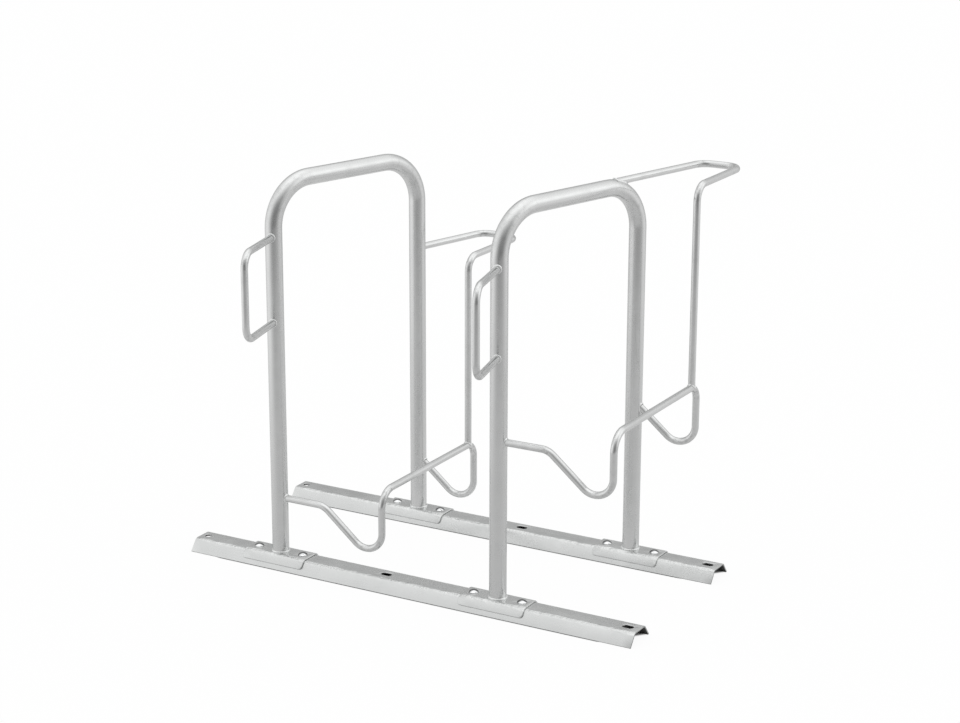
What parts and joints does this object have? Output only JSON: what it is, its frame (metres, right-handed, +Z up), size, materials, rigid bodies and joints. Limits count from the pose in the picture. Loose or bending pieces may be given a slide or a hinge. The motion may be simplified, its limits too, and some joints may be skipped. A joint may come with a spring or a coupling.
{
  "type": "bicycle stand",
  "caption": "Freestanding bicycle stand: bolted channel rails carry skewed tube hoops with low and high round-bar wheel cradles, tyre guides and lock loops.",
  "frame": {"origin": "on the floor, at the middle of the whole stand's length and depth", "axes": "+Z up, +X along the rails from the low bay to the high bay, +Y from the lock loops towards the tyre guides"},
  "size_m": [0.996, 0.7162, 0.7993],
  "materials": {
    "rail_zinc": "hot-dip galvanised, dull spangle",
    "shoe_zinc": "hot-dip galvanised, dull spangle",
    "tube_zinc": "hot-dip galvanised, satin",
    "bar_zinc": "hot-dip galvanised, satin",
    "bolt_zinc": "zinc plated, bright",
    "washer_zinc": "zinc plated, bright",
    "nut_zinc": "zinc plated, bright"
  },
  "bodies": {
    "root": {"front_rail": "rail_zinc", "rear_rail": "rail_zinc", "left_hoop": "tube_zinc", "left_wheel_cradle": "bar_zinc", "left_tyre_guide": "bar_zinc", "left_lock_loop": "bar_zinc", "left_front_shoe": "shoe_zinc", "left_rear_shoe": "shoe_zinc", "right_hoop": "tube_zinc", "right_wheel_cradle": "bar_zinc", "right_tyre_guide": "bar_zinc", "right_lock_loop": "bar_zinc", "right_front_shoe": "shoe_zinc", "right_rear_shoe": "shoe_zinc", "left_front_carriage_bolt_1": "bolt_zinc", "left_front_carriage_bolt_2": "bolt_zinc", "left_rear_carriage_bolt_1": "bolt_zinc", "left_rear_carriage_bolt_2": "bolt_zinc", "right_front_carriage_bolt_1": "bolt_zinc", "right_front_carriage_bolt_2": "bolt_zinc", "right_rear_carriage_bolt_1": "bolt_zinc", "right_rear_carriage_bolt_2": "bolt_zinc", "left_front_washer_1": "washer_zinc", "left_front_washer_2": "washer_zinc", "left_rear_washer_1": "washer_zinc", "left_rear_washer_2": "washer_zinc", "right_front_washer_1": "washer_zinc", "right_front_washer_2": "washer_zinc", "right_rear_washer_1": "washer_zinc", "right_rear_washer_2": "washer_zinc", "left_front_nut_1": "nut_zinc", "left_front_nut_2": "nut_zinc", "left_rear_nut_1": "nut_zinc", "left_rear_nut_2": "nut_zinc", "right_front_nut_1": "nut_zinc", "right_front_nut_2": "nut_zinc", "right_rear_nut_1": "nut_zinc", "right_rear_nut_2": "nut_zinc"}
  },
  "joints": []
}
